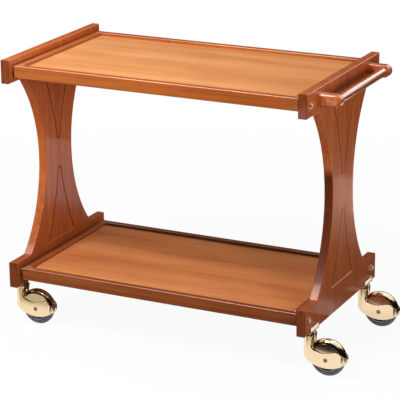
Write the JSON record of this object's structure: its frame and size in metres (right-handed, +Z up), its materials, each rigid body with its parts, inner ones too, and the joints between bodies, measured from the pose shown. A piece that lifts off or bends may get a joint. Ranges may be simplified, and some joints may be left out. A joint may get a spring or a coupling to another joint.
{
  "type": "serving trolley",
  "caption": "Wooden serving trolley with framed trays between waisted end panels, a push bar at one end and hooded brass swivel casters.",
  "frame": {"origin": "on the floor under the middle of the bounding box, with every caster trailing towards +X", "axes": "+X along the trays towards the push bar, +Y across them to the rear, +Z up"},
  "size_m": [1.0452, 0.522, 0.8],
  "materials": {
    "cherry_lacquer": "gloss lacquer over reddish-brown stain",
    "deck_veneer": "satin lacquer over light veneer",
    "beech": "bare",
    "polished_brass": "mirror polished",
    "zinc_steel": "zinc plated",
    "nylon": "moulded",
    "wheel_plastic": "moulded",
    "tyre_rubber": "smooth tread"
  },
  "bodies": {
    "frame": {"left_end_panel": "cherry_lacquer", "right_end_panel": "cherry_lacquer", "top_front_rail": "cherry_lacquer", "top_back_rail": "cherry_lacquer", "top_left_rail": "cherry_lacquer", "top_right_rail": "cherry_lacquer", "top_deck": "deck_veneer", "bottom_front_rail": "cherry_lacquer", "bottom_back_rail": "cherry_lacquer", "bottom_left_rail": "cherry_lacquer", "bottom_right_rail": "cherry_lacquer", "bottom_deck": "deck_veneer", "handle_front_bracket": "cherry_lacquer", "handle_rear_bracket": "cherry_lacquer", "handle_bar": "cherry_lacquer", "panel_bolts": "polished_brass", "barrel_nuts": "zinc_steel", "tray_spacers": "nylon", "panel_dowels": "beech", "corner_dowels": "beech", "handle_screws": "zinc_steel", "block_screws": "zinc_steel", "front_left_block": "polished_brass", "front_right_block": "polished_brass", "rear_left_block": "polished_brass", "rear_right_block": "polished_brass"},
    "front_left_swivel": {"front_left_kingpin": "zinc_steel", "front_left_thrust_washer": "zinc_steel", "front_left_hood": "polished_brass", "front_left_axle": "polished_brass", "front_left_spacers": "nylon"},
    "front_left_wheel": {"front_left_wheel_centre": "wheel_plastic", "front_left_tyre": "tyre_rubber"},
    "front_right_swivel": {"front_right_kingpin": "zinc_steel", "front_right_thrust_washer": "zinc_steel", "front_right_hood": "polished_brass", "front_right_axle": "polished_brass", "front_right_spacers": "nylon"},
    "front_right_wheel": {"front_right_wheel_centre": "wheel_plastic", "front_right_tyre": "tyre_rubber"},
    "rear_left_swivel": {"rear_left_kingpin": "zinc_steel", "rear_left_thrust_washer": "zinc_steel", "rear_left_hood": "polished_brass", "rear_left_axle": "polished_brass", "rear_left_spacers": "nylon"},
    "rear_left_wheel": {"rear_left_wheel_centre": "wheel_plastic", "rear_left_tyre": "tyre_rubber"},
    "rear_right_swivel": {"rear_right_kingpin": "zinc_steel", "rear_right_thrust_washer": "zinc_steel", "rear_right_hood": "polished_brass", "rear_right_axle": "polished_brass", "rear_right_spacers": "nylon"},
    "rear_right_wheel": {"rear_right_wheel_centre": "wheel_plastic", "rear_right_tyre": "tyre_rubber"}
  },
  "joints": [
    {"name": "front_left_swivel_turn", "type": "hinge", "parent": "frame", "child": "front_left_swivel", "pos_m": [-0.5031, -0.2, 0.122], "axis": [0, 0, 1], "continuous": true},
    {"name": "front_left_wheel_spin", "type": "hinge", "parent": "front_left_swivel", "child": "front_left_wheel", "pos_m": [-0.4521, -0.2, 0.05], "axis": [0, 1, 0], "continuous": true},
    {"name": "front_right_swivel_turn", "type": "hinge", "parent": "frame", "child": "front_right_swivel", "pos_m": [0.4129, -0.2, 0.122], "axis": [0, 0, 1], "continuous": true},
    {"name": "front_right_wheel_spin", "type": "hinge", "parent": "front_right_swivel", "child": "front_right_wheel", "pos_m": [0.4639, -0.2, 0.05], "axis": [0, 1, 0], "continuous": true},
    {"name": "rear_left_swivel_turn", "type": "hinge", "parent": "frame", "child": "rear_left_swivel", "pos_m": [-0.5031, 0.2, 0.122], "axis": [0, 0, 1], "continuous": true},
    {"name": "rear_left_wheel_spin", "type": "hinge", "parent": "rear_left_swivel", "child": "rear_left_wheel", "pos_m": [-0.4521, 0.2, 0.05], "axis": [0, 1, 0], "continuous": true},
    {"name": "rear_right_swivel_turn", "type": "hinge", "parent": "frame", "child": "rear_right_swivel", "pos_m": [0.4129, 0.2, 0.122], "axis": [0, 0, 1], "continuous": true},
    {"name": "rear_right_wheel_spin", "type": "hinge", "parent": "rear_right_swivel", "child": "rear_right_wheel", "pos_m": [0.4639, 0.2, 0.05], "axis": [0, 1, 0], "continuous": true}
  ]
}
